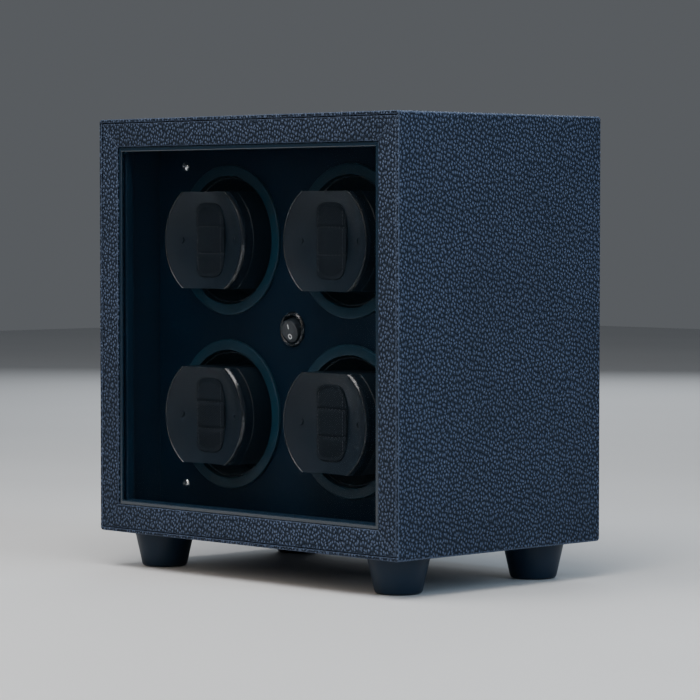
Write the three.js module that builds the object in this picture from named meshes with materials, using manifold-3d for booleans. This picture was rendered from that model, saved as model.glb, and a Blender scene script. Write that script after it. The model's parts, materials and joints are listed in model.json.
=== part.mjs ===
// A four-place watch winder box. Millimetres, +Z up, the front faces -Y, origin on the floor under its
// middle. Everything is placed inside `box`, a group whose y = 0 is the front plane and whose y grows
// towards the back.
import * as THREE from 'three';
import { mergeVertices } from 'three/addons/utils/BufferGeometryUtils.js';
import Module from 'manifold-3d';

const wasm = await Module();
wasm.setup();

// Case
const CASE_W = 264;
const CASE_D = 172;
const CASE_H = 256;
const FOOT_H = 22;
const WALL = 12;
const BACK_T = 8;
const LIP = 2.2;              // thin edge of the case that surrounds the door
const REBATE = 13;            // depth of the step that the door closes into
const GAP = 0.3;              // between pieces that touch or are glued
const PLAY = 0.4;             // round a screw, pin or thin shaft in its hole
const WIDE_PLAY = 0.7;        // round a rotor's shaft in its bearing

// Door
const DOOR_GAP = 0.9;
const DOOR_T = 11;
const DOOR_SET = 0.2;         // front face of the door behind the edge of the case
const STILE = 14;             // width of the door frame seen from the front
const LEDGE = 3;              // ledge behind the pane
const LEDGE_Y = 5;
const MITRE_GAP = 0.45;
const TRIM_Y = 0.8;
const TRIM_T = 1.6;
const PANE_T = 2;
const PIVOT_IN = 5;           // pivot axis from the left edge of the door
const PIVOT_Y = 2.6;
const PIN_R = 1.3;
const PIN_IN_DOOR = 6;
const PIN_IN_CASE = 1.3;

// Front panel, wells and rotors
const PANEL_Y = 39;
const PANEL_T = 4;
const PITCH = 107;            // between neighbouring rotor centres, across and up
const RING_R = 46;
const RING_BORE = 39.4;
const RING_T = 1.7;
const SLEEVE_R = 41.2;
const SLEEVE_END = 48;
const SLEEVE_PLAY = 0.6;
const RING_EDGE = 0.8;
const CUP_R = 38.8;
const CUP_BORE = 37.3;
const CUP_Y = 39.6;
const CUP_FLOOR = 66;
const CUP_FLOOR_T = 2;
const SHAFT_R = 5;
const SHAFT_END = 91;

// Watch holders
const HOLDER_R = 36.5;
const HOLDER_Y = 16.5;
const HOLDER_END = 60;
const HOLDER_FLAT = 29.5;     // half height between the flats that the bracelet runs over
const HOLDER_RIM = 1.5;
const DISH_R = 75;            // radius of the hollow in the holder's face
const HOLLOW_R = 32;
const HOLLOW_Y = 33;
const HOLLOW_HALF = 25.5;
const DISH_STEPS = 4;
const PAD_W = 25;
const PAD_H = 46;
const PAD_Y = 20;
const PAD_GAP = 0.5;          // glue line between the pad and the dish
const PAD_ANGLE = 0.4;        // radians of the dish's sphere that the pad's back covers

// Drive
const GEAR_MODULE = 2;
const GEAR_TEETH = 27;
const PINION_TEETH = 9;
const GEAR_Y = 70;
const GEAR_T = 5;
const ADDENDUM = 0.85 * GEAR_MODULE;
const DEDENDUM = 1.2 * GEAR_MODULE;
const TIP_SHARE = 0.09;       // half a tooth's tip, as a share of the pitch
const ROOT_SHARE = 0.3;
const PINION_INSET = 0.5;
const PLATE_Y = 77.3;
const PLATE_T = 3;
const BOSS_R = 9;
const BOSS_END = 90;
const MOTOR_R = 12.5;
const MOTOR_END = 128;
const MOTOR_SHAFT_R = 2;
const MOTOR_SHAFT_IN = 8;
const MOTOR_SHAFT_HOLE = 1;   // extra radius of its hole in the drive plate
const MOTOR_CAP_R = 5.5;
const MOTOR_CAP_T = 4;
const GEAR_CENTRES = GEAR_MODULE * (GEAR_TEETH + PINION_TEETH) / 2;

// Panel screws and their posts
const SCREW_X = 94;
const SCREW_Z = 99;
const SCREW_R = 1.5;
const SCREW_HEAD_R = 3.2;
const SCREW_DOME = [[0, 2], [1.5, 1.8], [2.6, 1.1]];
const SCREW_END = 55;
const SCREW_SPACE = 2;        // empty thread beyond the screw's end
const POST_R = 4.5;

// Switch near the middle of the panel
const BEZEL_R = 10.5;
const BEZEL_PROUD = 2;
const SWITCH_X = 3;           // the switch is a little to the right of the middle
const BEZEL_BORE = 8.6;
const BEZEL_NECK = 9.4;
const BEZEL_END = 56;
const BEZEL_FLOOR = 3;
const BEZEL_EDGE = 0.8;
const BEZEL_INNER_EDGE = 0.6;
const BEZEL_FLARE = 0.2;
const ROCKER_R = 7.1;
const ROCKER_PROUD = 1.6;     // middle of the rocker's face in front of the bezel
const ROCKER_PIVOT_Y = 40.3;
const ROCKER_TILT = 15.5;     // degrees, lower half pressed in at rest
const ROCKER_BACK = 2.8;      // back of the rocker behind its pivot
const ROCKER_EDGE = 0.5;
const TRUNNION_R = 0.9;
const TRUNNION_IN = 0.6;

// Touch latch in the right wall
const LATCH_X = CASE_W / 2 - 7;
const LATCH_R = 3.8;
const LATCH_END = 45;
const PLUNGER_R = 2.4;
const PLUNGER_Y = 12.6;
const PLUNGER_SPRING = 8;     // room for the spring behind the plunger
const STRIKE_T = 1;
const STRIKE_HALF_W = 5;
const STRIKE_HALF_H = 9;
const STRIKE_X = LATCH_X - 2;

// Feet and power inlet
const FOOT_TOP_R = 18.5;
const FOOT_BOTTOM_R = 13.75;
const FOOT_INSET = 28.5;      // foot centre from the sides of the case
const FOOT_ROUND = 2.5;
const FOOT_BEVEL = 0.3 * FOOT_ROUND;
const JACK_Z = FOOT_H + 30;
const JACK_FLANGE_R = 7;
const JACK_FLANGE_T = 1.2;
const JACK_SEAT = 2;
const JACK_BARREL_R = 5;
const JACK_END = 14;
const JACK_BORE_R = 3.2;
const JACK_BORE = 10;

// Control board: blocks are [x low, z low, x high, z high, height]
const BOARD_Y = 85;
const BOARD_T = 1.6;
const BOARD_HALF_W = 30;
const BOARD_HALF_H = 22;
const BOARD_POST_R = 2;
const BOARD_POST_X = 26;
const BOARD_POST_Z = 18;
const BOARD_BLOCKS = [[-22, -14, -6, 2, 12], [2, -12, 18, -2, 3], [-4, 8, 22, 14, 8]];

const ROUND = 32;             // sides on the large round parts
const MEDIUM_ROUND = 24;
const FOOT_SIDES = 20;
const SMALL_ROUND = 16;
const TINY_ROUND = 10;
const POST_SIDES = 8;
const OVER = 1;               // how far a cutting tool or a merged block reaches past the face
const SLIM_OVER = 0.01;
const BEYOND = 100;           // larger than any one part

// Derived places
const HALF_W = CASE_W / 2;
const BOTTOM = FOOT_H;
const TOP = FOOT_H + CASE_H;
const MIDDLE = (BOTTOM + TOP) / 2;
const ROOM_HALF_W = HALF_W - WALL;
const ROOM_HALF_H = CASE_H / 2 - WALL;
const DOOR_W = CASE_W - 2 * (LIP + DOOR_GAP);
const DOOR_H = CASE_H - 2 * (LIP + DOOR_GAP);
const DOOR_LEFT = -DOOR_W / 2;
const DOOR_BOTTOM = MIDDLE - DOOR_H / 2;
const DOOR_TOP = MIDDLE + DOOR_H / 2;

const LEATHER = { color: 0x26303f, roughness: 0.55, metalness: 0 };
const SATIN_NAVY = { color: 0x0b1826, roughness: 0.45, metalness: 0 };
const TEAL_NAVY = { color: 0x132431, roughness: 0.35, metalness: 0 };
const DARK_GREY = { color: 0x2b3036, roughness: 0.4, metalness: 0 };
const SOFT_GREY = { color: 0x33373c, roughness: 0.9, metalness: 0 };
const BLACK_PLASTIC = { color: 0x101216, roughness: 0.5, metalness: 0 };
const CLEAR = { color: 0xdfe8ee, roughness: 0.05, metalness: 0, transparent: true, opacity: 0.2 };
const CHROME = { color: 0xc9ccd0, roughness: 0.2, metalness: 1 };
const STEEL = { color: 0x9a9ea3, roughness: 0.35, metalness: 1 };
const NYLON = { color: 0xe4e1d8, roughness: 0.5, metalness: 0 };
const RUBBER = { color: 0x15171a, roughness: 0.85, metalness: 0 };
const BOARD_GREEN = { color: 0x1d5a35, roughness: 0.5, metalness: 0 };

// ---- Geometry helpers ----

// Merges a geometry's shared vertices, drops its empty triangles and turns its faces outwards.
function closed(geometry) {
  const bare = geometry.clone();
  bare.deleteAttribute('normal');
  bare.deleteAttribute('uv');
  const merged = mergeVertices(bare, 1e-4);
  const place = merged.getAttribute('position');
  const faces = [];
  let volume = 0;
  for (let i = 0; i < merged.index.count; i += 3) {
    const [a, b, c] = [0, 1, 2].map((k) => merged.index.getX(i + k));
    if (a === b || b === c || c === a) continue;
    faces.push([a, b, c]);
    const [pa, pb, pc] = [a, b, c].map((k) => new THREE.Vector3().fromBufferAttribute(place, k));
    volume += pa.dot(pb.cross(pc));
  }
  const outward = volume > 0 ? faces : faces.map(([a, b, c]) => [a, c, b]);
  merged.setIndex(outward.flat());
  return merged;
}

function solid(geometry) {
  const shell = closed(geometry);
  const vertProperties = new Float32Array(shell.getAttribute('position').array);
  const triVerts = new Uint32Array(shell.index.array);
  return new wasm.Manifold(new wasm.Mesh({ numProp: 3, vertProperties, triVerts }));
}

function geometryOf(manifold) {
  const mesh = manifold.getMesh();
  const geometry = new THREE.BufferGeometry();
  geometry.setAttribute('position', new THREE.BufferAttribute(new Float32Array(mesh.vertProperties), 3));
  geometry.setIndex([...mesh.triVerts]);
  return geometry;
}

function joined(...pieces) {
  return geometryOf(pieces.map(solid).reduce((all, piece) => all.add(piece)));
}

function cut(piece, ...tools) {
  return geometryOf(tools.map(solid).reduce((left, tool) => left.subtract(tool), solid(piece)));
}

function common(piece, tool) {
  return geometryOf(solid(piece).intersect(solid(tool)));
}

// A block between two opposite corners.
function block(low, high) {
  const size = high.map((value, i) => value - low[i]);
  const geometry = new THREE.BoxGeometry(...size);
  return geometry.translate(...high.map((value, i) => (value + low[i]) / 2));
}

// A turned piece about the y axis, from [radius, y] points.
function turned(profile, sides) {
  return new THREE.LatheGeometry(profile.map(([r, y]) => new THREE.Vector2(r, y)), sides);
}

// A rod about the y axis between two depths.
function rod(radius, front, back, sides) {
  return turned([[0, front], [radius, front], [radius, back], [0, back]], sides);
}

// An upright rod about the z axis between two heights.
function uprightRod(radius, low, high, sides) {
  return turned([[0, low], [radius, low], [radius, high], [0, high]], sides).rotateX(Math.PI / 2);
}

// A plate in the xz plane: outline points are [x, z], and it fills y from front to back.
function plate(outline, holes, front, back) {
  const shape = new THREE.Shape(outline.map(([x, z]) => new THREE.Vector2(x, z)));
  for (const hole of holes) {
    shape.holes.push(new THREE.Path(hole.map(([x, z]) => new THREE.Vector2(x, z))));
  }
  const geometry = new THREE.ExtrudeGeometry(shape, { depth: back - front, bevelEnabled: false });
  return geometry.rotateX(Math.PI / 2).translate(0, back, 0);
}

function rectangle(halfW, halfH) {
  return [[-halfW, -halfH], [halfW, -halfH], [halfW, halfH], [-halfW, halfH]];
}

function circle(radius, sides, x = 0, z = 0) {
  const points = [];
  for (let i = 0; i < sides; i += 1) {
    const angle = (2 * Math.PI * i) / sides;
    points.push([x + radius * Math.sin(angle), z + radius * Math.cos(angle)]);
  }
  return points;
}

// Outline of a spur gear with straight-flanked, slightly thinned teeth. A tooth or a gap points up.
function gearOutline(teeth, startWithGap) {
  const pitchR = (GEAR_MODULE * teeth) / 2;
  const tipR = pitchR + ADDENDUM;
  const rootR = pitchR - DEDENDUM;
  const toothAngle = (2 * Math.PI) / teeth;
  const tipHalf = TIP_SHARE * toothAngle;
  const rootHalf = ROOT_SHARE * toothAngle;
  const points = [];
  for (let i = 0; i < teeth; i += 1) {
    const middle = (i + (startWithGap ? 0.5 : 0)) * toothAngle;
    for (const [r, side] of [[rootR, -rootHalf], [tipR, -tipHalf], [tipR, tipHalf], [rootR, rootHalf]]) {
      points.push([-r * Math.sin(middle + side), r * Math.cos(middle + side)]);
    }
  }
  return points;
}

// ---- Case ----

const box = new THREE.Group();
box.position.y = -CASE_D / 2;

function addTo(parent, name, geometry, look) {
  const mesh = new THREE.Mesh(closed(geometry), new THREE.MeshStandardMaterial(look));
  mesh.name = name;
  parent.add(mesh);
  return mesh;
}

// Top or bottom board with its thin front lip, and the blind hole for the door's pivot pin.
function flatBoard(outer, inner) {
  const lipInner = outer + Math.sign(inner - outer) * LIP;
  const board = block([-HALF_W, REBATE, Math.min(outer, inner)], [HALF_W, CASE_D, Math.max(outer, inner)]);
  const [lipLow, lipHigh] = [Math.min(outer, lipInner), Math.max(outer, lipInner)];
  const lip = block([-HALF_W, 0, lipLow], [HALF_W, REBATE + OVER, lipHigh]);
  const holeEnd = lipInner + Math.sign(outer - inner) * (PIN_IN_CASE + GAP);
  const [holeLow, holeHigh] = [Math.min(holeEnd, lipInner), Math.max(holeEnd, lipInner)];
  const hole = uprightRod(PIN_R + GAP, holeLow - SLIM_OVER, holeHigh + SLIM_OVER, TINY_ROUND);
  hole.translate(DOOR_LEFT + PIVOT_IN, DOOR_SET + PIVOT_Y, 0);
  return cut(joined(board, lip), hole);
}

// Side board with its lip: side is -1 for the left and 1 for the right.
function sideBoard(side) {
  const spanX = (a, b) => [Math.min(side * a, side * b), Math.max(side * a, side * b)];
  const [boardLow, boardHigh] = spanX(ROOM_HALF_W, HALF_W);
  const [lipLow, lipHigh] = spanX(HALF_W - LIP, HALF_W);
  const board = block([boardLow, REBATE, BOTTOM + WALL + GAP], [boardHigh, CASE_D, TOP - WALL - GAP]);
  const lip = block([lipLow, 0, BOTTOM + LIP + GAP], [lipHigh, REBATE, TOP - LIP - GAP]);
  const rootLow = [lipLow, REBATE - OVER, BOTTOM + WALL + GAP];
  const root = block(rootLow, [lipHigh, REBATE + OVER, TOP - WALL - GAP]);
  return joined(board, lip, root);
}

function addCase() {
  addTo(box, 'case_top', flatBoard(TOP, TOP - WALL), LEATHER);
  addTo(box, 'case_bottom', flatBoard(BOTTOM, BOTTOM + WALL), LEATHER);
  addTo(box, 'case_left', sideBoard(-1), LEATHER);
  const latchHole = rod(LATCH_R + GAP, REBATE - OVER, LATCH_END + OVER, TINY_ROUND);
  latchHole.translate(LATCH_X, 0, MIDDLE);
  addTo(box, 'case_right', cut(sideBoard(1), latchHole), LEATHER);
  const back = block(
    [-ROOM_HALF_W + GAP, CASE_D - BACK_T, BOTTOM + WALL + GAP],
    [ROOM_HALF_W - GAP, CASE_D, TOP - WALL - GAP],
  );
  const flangeSeat = rod(JACK_FLANGE_R + GAP, CASE_D - JACK_SEAT, CASE_D + OVER, SMALL_ROUND);
  const barrelHole = rod(JACK_BARREL_R + GAP, CASE_D - BACK_T - OVER, CASE_D, SMALL_ROUND);
  const holes = [flangeSeat, barrelHole].map((hole) => hole.translate(0, 0, JACK_Z));
  addTo(box, 'case_back', cut(back, ...holes), LEATHER);
}

function addFeet() {
  const profile = [[0, 0], [FOOT_BOTTOM_R - FOOT_ROUND, 0], [FOOT_BOTTOM_R - FOOT_BEVEL, FOOT_BEVEL],
    [FOOT_BOTTOM_R, FOOT_ROUND], [FOOT_TOP_R, FOOT_H - GAP], [0, FOOT_H - GAP]];
  for (const [place, x, y] of [
    ['front_left', -1, FOOT_INSET], ['front_right', 1, FOOT_INSET],
    ['rear_left', -1, CASE_D - FOOT_INSET], ['rear_right', 1, CASE_D - FOOT_INSET],
  ]) {
    const foot = turned(profile, FOOT_SIDES).rotateX(Math.PI / 2);
    addTo(box, `foot_${place}`, foot, RUBBER).position.set(x * (HALF_W - FOOT_INSET), y, 0);
  }
}

// ---- Door ----

// One mitred member of the door frame, lying along x with its outer edge at z = 0.
function frameMember(length, endGap) {
  const layer = (width, front, back) => plate(
    [[endGap, 0], [length - endGap, 0], [length - width - endGap, width], [width + endGap, width]],
    [], front, back,
  );
  return joined(layer(STILE, 0, LEDGE_Y + OVER), layer(STILE + LEDGE, LEDGE_Y, DOOR_T));
}

function addDoor() {
  const door = new THREE.Group();
  door.position.y = DOOR_SET;
  box.add(door);
  const pivotX = DOOR_LEFT + PIVOT_IN;
  const pinHoles = [
    [DOOR_TOP - PIN_IN_DOOR - GAP, DOOR_TOP + OVER],
    [DOOR_BOTTOM - OVER, DOOR_BOTTOM + PIN_IN_DOOR + GAP],
  ].map(([low, high]) => uprightRod(PIN_R + GAP, low, high, TINY_ROUND).translate(pivotX, PIVOT_Y, 0));

  const placed = (member, turn, x, z) => member.rotateY(turn).translate(x, 0, z);
  const bottomRail = placed(frameMember(DOOR_W, 0), 0, DOOR_LEFT, DOOR_BOTTOM);
  const topRail = placed(frameMember(DOOR_W, 0), Math.PI, -DOOR_LEFT, DOOR_TOP);
  const leftStile = placed(frameMember(DOOR_H, MITRE_GAP), Math.PI / 2, DOOR_LEFT, DOOR_TOP);
  const rightStile = placed(frameMember(DOOR_H, MITRE_GAP), -Math.PI / 2, -DOOR_LEFT, DOOR_BOTTOM);
  addTo(door, 'door_rail_bottom', cut(bottomRail, pinHoles[1]), LEATHER);
  addTo(door, 'door_rail_top', cut(topRail, pinHoles[0]), LEATHER);
  addTo(door, 'door_stile_left', cut(leftStile, ...pinHoles), LEATHER);
  addTo(door, 'door_stile_right', rightStile, LEATHER);

  const paneHalfW = DOOR_W / 2 - STILE - GAP;
  const paneHalfH = DOOR_H / 2 - STILE - GAP;
  const paneY = LEDGE_Y - GAP - PANE_T;
  const paneLow = [-paneHalfW, paneY, MIDDLE - paneHalfH];
  const pane = block(paneLow, [paneHalfW, paneY + PANE_T, MIDDLE + paneHalfH]);
  addTo(door, 'door_pane', pane, CLEAR);
  const opening = rectangle(DOOR_W / 2 - STILE - LEDGE, DOOR_H / 2 - STILE - LEDGE);
  const trim = plate(rectangle(paneHalfW, paneHalfH), [opening], TRIM_Y, TRIM_Y + TRIM_T);
  addTo(door, 'pane_trim', trim, BLACK_PLASTIC).position.z = MIDDLE;

  const pinLength = PIN_IN_DOOR + DOOR_GAP + PIN_IN_CASE;
  const pin = uprightRod(PIN_R, 0, pinLength, TINY_ROUND);
  const topPinZ = DOOR_TOP - PIN_IN_DOOR;
  const bottomPinZ = DOOR_BOTTOM + PIN_IN_DOOR - pinLength;
  addTo(door, 'door_pivot_top', pin, STEEL).position.set(pivotX, PIVOT_Y, topPinZ);
  addTo(door, 'door_pivot_bottom', pin, STEEL).position.set(pivotX, PIVOT_Y, bottomPinZ);

  const strikeLow = [-STRIKE_HALF_W, DOOR_T + GAP, -STRIKE_HALF_H];
  const strike = block(strikeLow, [STRIKE_HALF_W, DOOR_T + GAP + STRIKE_T, STRIKE_HALF_H]);
  addTo(door, 'latch_strike', strike, STEEL).position.set(STRIKE_X, 0, MIDDLE);
}

// Touch latch: a tube let into the right wall, and the sprung plunger that the strike meets.
function addLatch() {
  const bore = PLUNGER_R + PLAY;
  const tube = turned([[bore, REBATE], [LATCH_R, REBATE], [LATCH_R, LATCH_END], [bore, LATCH_END],
    [bore, REBATE]], TINY_ROUND);
  addTo(box, 'latch_housing', tube, BLACK_PLASTIC).position.set(LATCH_X, 0, MIDDLE);
  const plunger = rod(PLUNGER_R, PLUNGER_Y + DOOR_SET, LATCH_END - PLUNGER_SPRING, TINY_ROUND);
  addTo(box, 'latch_plunger', plunger, BLACK_PLASTIC).position.set(LATCH_X, 0, MIDDLE);
}

// ---- Front panel ----

const corners = [
  ['upper_left', -1, 1], ['upper_right', 1, 1], ['lower_left', -1, -1], ['lower_right', 1, -1],
];

function addFrontPanel() {
  const holes = [circle(BEZEL_NECK + PLAY, MEDIUM_ROUND, SWITCH_X, 0)];
  for (const [, x, z] of corners) {
    holes.push(circle(SLEEVE_R + SLEEVE_PLAY, ROUND, x * PITCH / 2, z * PITCH / 2));
    holes.push(circle(SCREW_R + PLAY, TINY_ROUND, x * SCREW_X, z * SCREW_Z));
  }
  const outline = rectangle(ROOM_HALF_W - GAP, ROOM_HALF_H - GAP);
  const panel = plate(outline, holes, PANEL_Y, PANEL_Y + PANEL_T);
  addTo(box, 'front_panel', panel, SATIN_NAVY).position.z = MIDDLE;
}

function addPanelScrews() {
  const seat = PANEL_Y - GAP;
  const dome = SCREW_DOME.map(([r, height]) => [r, seat - height]);
  const profile = [...dome, [SCREW_HEAD_R, seat], [SCREW_R, seat], [SCREW_R, SCREW_END], [0, SCREW_END]];
  for (const [place, x, z] of corners) {
    const screw = addTo(box, `panel_screw_${place}`, turned(profile, TINY_ROUND), CHROME);
    screw.position.set(x * SCREW_X, 0, MIDDLE + z * SCREW_Z);
  }
}

// ---- Drive plate, one for all four rotors ----

function addDrivePlate() {
  const motorX = PITCH / 2 + GEAR_CENTRES;
  const holes = [];
  for (const [, x, z] of corners) {
    holes.push(circle(SHAFT_R + WIDE_PLAY, SMALL_ROUND, x * PITCH / 2, z * PITCH / 2));
    holes.push(circle(MOTOR_SHAFT_R + MOTOR_SHAFT_HOLE, TINY_ROUND, x * motorX, z * PITCH / 2));
  }
  const outline = rectangle(ROOM_HALF_W - GAP, ROOM_HALF_H - GAP);
  const pieces = [plate(outline, holes, PLATE_Y, PLATE_Y + PLATE_T)];
  const bore = SHAFT_R + WIDE_PLAY;
  const inPlate = PLATE_Y + OVER;
  const front = PANEL_Y + PANEL_T + GAP;
  const hole = SCREW_R + PLAY;
  const holeEnd = SCREW_END + SCREW_SPACE;
  for (const [, x, z] of corners) {
    const boss = turned([[bore, inPlate], [BOSS_R, inPlate], [BOSS_R, BOSS_END], [bore, BOSS_END],
      [bore, inPlate]], SMALL_ROUND);
    pieces.push(boss.translate(x * PITCH / 2, 0, z * PITCH / 2));
    const post = turned([[hole, front], [POST_R, front], [POST_R, inPlate], [0, inPlate], [0, holeEnd],
      [hole, holeEnd], [hole, front]], TINY_ROUND);
    pieces.push(post.translate(x * SCREW_X, 0, z * SCREW_Z));
  }
  addTo(box, 'drive_plate', joined(...pieces), BLACK_PLASTIC).position.z = MIDDLE;
}

// ---- One winding place ----

function wellRing() {
  const seat = PANEL_Y - GAP;
  const front = seat - RING_T;
  return turned([[RING_BORE, front], [RING_R - RING_EDGE, front], [RING_R, front + RING_EDGE],
    [RING_R, seat], [SLEEVE_R, seat], [SLEEVE_R, SLEEVE_END], [RING_BORE, SLEEVE_END],
    [RING_BORE, front]], ROUND);
}

function rotorCup() {
  const floorBack = CUP_FLOOR + CUP_FLOOR_T;
  return turned([[0, CUP_FLOOR], [CUP_BORE, CUP_FLOOR], [CUP_BORE, CUP_Y], [CUP_R, CUP_Y],
    [CUP_R, floorBack], [SHAFT_R, floorBack], [SHAFT_R, SHAFT_END], [0, SHAFT_END]], ROUND);
}

function rotorGear() {
  const bore = circle(SHAFT_R + GAP, SMALL_ROUND);
  return plate(gearOutline(GEAR_TEETH, false), [bore], GEAR_Y, GEAR_Y + GEAR_T);
}

// Pinion on the motor's output shaft.
function motorPinion() {
  const wheelEnd = GEAR_Y + GEAR_T - PINION_INSET;
  const wheel = plate(gearOutline(PINION_TEETH, true), [], GEAR_Y + PINION_INSET, wheelEnd);
  const shaft = rod(MOTOR_SHAFT_R, GEAR_Y, PLATE_Y + PLATE_T + MOTOR_SHAFT_IN, TINY_ROUND);
  return joined(wheel, shaft);
}

function gearmotor() {
  const front = PLATE_Y + PLATE_T + GAP;
  const bore = MOTOR_SHAFT_R + PLAY;
  const boreEnd = front + MOTOR_SHAFT_IN + OVER;
  const capEnd = MOTOR_END + MOTOR_CAP_T;
  return turned([[0, boreEnd], [bore, boreEnd], [bore, front], [MOTOR_R, front], [MOTOR_R, MOTOR_END],
    [MOTOR_CAP_R, MOTOR_END], [MOTOR_CAP_R, capEnd], [0, capEnd]], SMALL_ROUND);
}

// Round drum with a dished face, flats above and below for the bracelet, and an open hollow behind.
function holderBody() {
  const dishEdge = HOLDER_R - HOLDER_RIM;
  const centreY = HOLDER_Y - Math.sqrt(DISH_R ** 2 - dishEdge ** 2);
  const profile = [];
  for (let i = 0; i <= DISH_STEPS; i += 1) {
    const r = (dishEdge * i) / DISH_STEPS;
    profile.push([r, centreY + Math.sqrt(DISH_R ** 2 - r ** 2)]);
  }
  profile.push([HOLDER_R, HOLDER_Y], [HOLDER_R, HOLDER_END], [0, HOLDER_END]);
  const drum = turned(profile, ROUND);
  const band = (half) => block([-BEYOND, 0, -half], [BEYOND, BEYOND, half]);
  const hollow = common(rod(HOLLOW_R, HOLLOW_Y, HOLDER_END + OVER, MEDIUM_ROUND), band(HOLLOW_HALF));
  return cut(common(drum, band(HOLDER_FLAT)), hollow);
}

// Soft saddle that lies in the dish and carries the back of the watch.
function holderPad() {
  const dishEdge = HOLDER_R - HOLDER_RIM;
  const centreY = HOLDER_Y - Math.sqrt(DISH_R ** 2 - dishEdge ** 2);
  const behind = centreY + DISH_R;
  const seatR = DISH_R - PAD_GAP;
  const profile = [[0, centreY]];
  for (let i = DISH_STEPS; i >= 0; i -= 1) {
    const angle = (PAD_ANGLE * i) / DISH_STEPS;
    profile.push([seatR * Math.sin(angle), centreY + seatR * Math.cos(angle)]);
  }
  const pad = block([-PAD_W / 2, PAD_Y, -PAD_H / 2], [PAD_W / 2, behind + OVER, PAD_H / 2]);
  return common(pad, turned(profile, ROUND));
}

function addWindingPlace(place, x, z) {
  const centre = new THREE.Group();
  centre.position.set(x * PITCH / 2, 0, MIDDLE + z * PITCH / 2);
  box.add(centre);
  addTo(centre, `well_ring_${place}`, wellRing(), TEAL_NAVY);
  addTo(centre, `rotor_cup_${place}`, rotorCup(), SATIN_NAVY);
  addTo(centre, `rotor_gear_${place}`, rotorGear(), NYLON).rotation.y = x * Math.PI / 2;
  addTo(centre, `holder_${place}`, holderBody(), DARK_GREY);
  addTo(centre, `holder_pad_${place}`, holderPad(), SOFT_GREY);
  const motorSide = new THREE.Group();
  motorSide.position.x = x * GEAR_CENTRES;
  centre.add(motorSide);
  addTo(motorSide, `motor_pinion_${place}`, motorPinion(), NYLON).rotation.y = -x * Math.PI / 2;
  addTo(motorSide, `gearmotor_${place}`, gearmotor(), STEEL);
}

// ---- Switch, board and inlet ----

function addSwitch() {
  const front = PANEL_Y - BEZEL_PROUD;
  const seat = PANEL_Y - GAP;
  const floor = BEZEL_END - BEZEL_FLOOR;
  const profile = [[0, floor], [BEZEL_BORE, floor], [BEZEL_BORE, front + BEZEL_INNER_EDGE],
    [BEZEL_BORE + BEZEL_INNER_EDGE, front], [BEZEL_R - BEZEL_EDGE, front], [BEZEL_R, front + BEZEL_EDGE],
    [BEZEL_R + BEZEL_FLARE, seat], [BEZEL_NECK, seat], [BEZEL_NECK, BEZEL_END], [0, BEZEL_END]];
  const acrossX = (radius, half) => rod(radius, -half, half, TINY_ROUND).rotateZ(Math.PI / 2);
  const pivotHole = acrossX(TRUNNION_R + GAP, BEZEL_BORE + OVER).translate(0, ROCKER_PIVOT_Y, 0);
  const bezel = cut(turned(profile, MEDIUM_ROUND), pivotHole);
  addTo(box, 'switch_bezel', bezel, BLACK_PLASTIC).position.set(SWITCH_X, 0, MIDDLE);

  const face = front - ROCKER_PROUD - ROCKER_PIVOT_Y;
  const puck = turned([[0, face], [ROCKER_R - ROCKER_EDGE, face], [ROCKER_R, face + ROCKER_EDGE],
    [ROCKER_R, ROCKER_BACK], [0, ROCKER_BACK]], MEDIUM_ROUND);
  const body = joined(puck, acrossX(TRUNNION_R, BEZEL_BORE + TRUNNION_IN));
  const rocker = addTo(box, 'switch_rocker', body, BLACK_PLASTIC);
  rocker.position.set(SWITCH_X, ROCKER_PIVOT_Y, MIDDLE);
  rocker.rotation.x = THREE.MathUtils.degToRad(ROCKER_TILT);
}

function addControlBoard() {
  const sheetLow = [-BOARD_HALF_W, BOARD_Y, -BOARD_HALF_H];
  const pieces = [block(sheetLow, [BOARD_HALF_W, BOARD_Y + BOARD_T, BOARD_HALF_H])];
  for (const [, x, z] of corners) {
    const post = rod(BOARD_POST_R, PLATE_Y + PLATE_T + GAP, BOARD_Y + OVER, POST_SIDES);
    pieces.push(post.translate(x * BOARD_POST_X, 0, z * BOARD_POST_Z));
  }
  for (const [xLow, zLow, xHigh, zHigh, height] of BOARD_BLOCKS) {
    pieces.push(block([xLow, BOARD_Y + OVER, zLow], [xHigh, BOARD_Y + OVER + height, zHigh]));
  }
  addTo(box, 'control_board', joined(...pieces), BOARD_GREEN).position.z = MIDDLE;
}

function addInlet() {
  const outer = CASE_D - GAP;
  const [floor, step, end] = [JACK_BORE, JACK_FLANGE_T, JACK_END].map((depth) => outer - depth);
  const profile = [[0, floor], [JACK_BORE_R, floor], [JACK_BORE_R, outer], [JACK_FLANGE_R, outer],
    [JACK_FLANGE_R, step], [JACK_BARREL_R, step], [JACK_BARREL_R, end], [0, end]];
  addTo(box, 'power_inlet', turned(profile, SMALL_ROUND), BLACK_PLASTIC).position.z = JACK_Z;
}

addCase();
addFeet();
addDoor();
addLatch();
addFrontPanel();
addPanelScrews();
addDrivePlate();
for (const [place, x, z] of corners) addWindingPlace(place, x, z);
addSwitch();
addControlBoard();
addInlet();

const watchWinder = new THREE.Group();
watchWinder.add(box);

export default watchWinder;
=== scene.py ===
"""Looks of the four-place watch winder box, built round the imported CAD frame."""
import json
import math

import bmesh
import bpy
from mathutils import Matrix, Vector


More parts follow.
